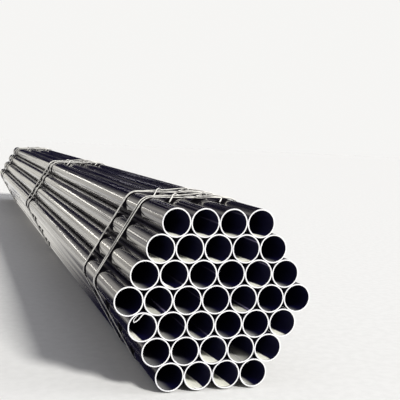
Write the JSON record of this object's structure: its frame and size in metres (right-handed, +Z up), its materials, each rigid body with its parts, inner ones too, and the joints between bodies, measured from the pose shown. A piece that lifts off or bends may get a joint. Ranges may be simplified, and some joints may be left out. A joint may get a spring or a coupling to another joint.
{
  "type": "bundle of steel pipes",
  "caption": "Hexagonal bundle of plain round steel pipes with open cut ends, held by doubled wire ties.",
  "frame": {"origin": "on the floor below the middle of the bundle, at the bottom of the tie wires", "axes": "+Y along the pipes from the near end to the far end, +X across the bundle, +Z up"},
  "size_m": [0.6346, 6, 0.5801],
  "materials": {
    "pipe_steel": "bare mill steel, dark grey with a satin gloss, bright where it is cut",
    "tie_wire": "bare drawn wire, pale grey"
  },
  "bodies": {
    "root": {"pipe_row1_1": "pipe_steel", "pipe_row1_2": "pipe_steel", "pipe_row1_3": "pipe_steel", "pipe_row1_4": "pipe_steel", "pipe_row2_1": "pipe_steel", "pipe_row2_2": "pipe_steel", "pipe_row2_3": "pipe_steel", "pipe_row2_4": "pipe_steel", "pipe_row2_5": "pipe_steel", "pipe_row3_1": "pipe_steel", "pipe_row3_2": "pipe_steel", "pipe_row3_3": "pipe_steel", "pipe_row3_4": "pipe_steel", "pipe_row3_5": "pipe_steel", "pipe_row3_6": "pipe_steel", "pipe_row4_1": "pipe_steel", "pipe_row4_2": "pipe_steel", "pipe_row4_3": "pipe_steel", "pipe_row4_4": "pipe_steel", "pipe_row4_5": "pipe_steel", "pipe_row4_6": "pipe_steel", "pipe_row4_7": "pipe_steel", "pipe_row5_1": "pipe_steel", "pipe_row5_2": "pipe_steel", "pipe_row5_3": "pipe_steel", "pipe_row5_4": "pipe_steel", "pipe_row5_5": "pipe_steel", "pipe_row5_6": "pipe_steel", "pipe_row6_1": "pipe_steel", "pipe_row6_2": "pipe_steel", "pipe_row6_3": "pipe_steel", "pipe_row6_4": "pipe_steel", "pipe_row6_5": "pipe_steel", "pipe_row7_1": "pipe_steel", "pipe_row7_2": "pipe_steel", "pipe_row7_3": "pipe_steel", "pipe_row7_4": "pipe_steel", "tie_near_outer": "tie_wire", "tie_near_inner": "tie_wire", "tie_middle_near": "tie_wire", "tie_middle_far": "tie_wire", "tie_far_inner": "tie_wire", "tie_far_outer": "tie_wire"}
  },
  "joints": []
}
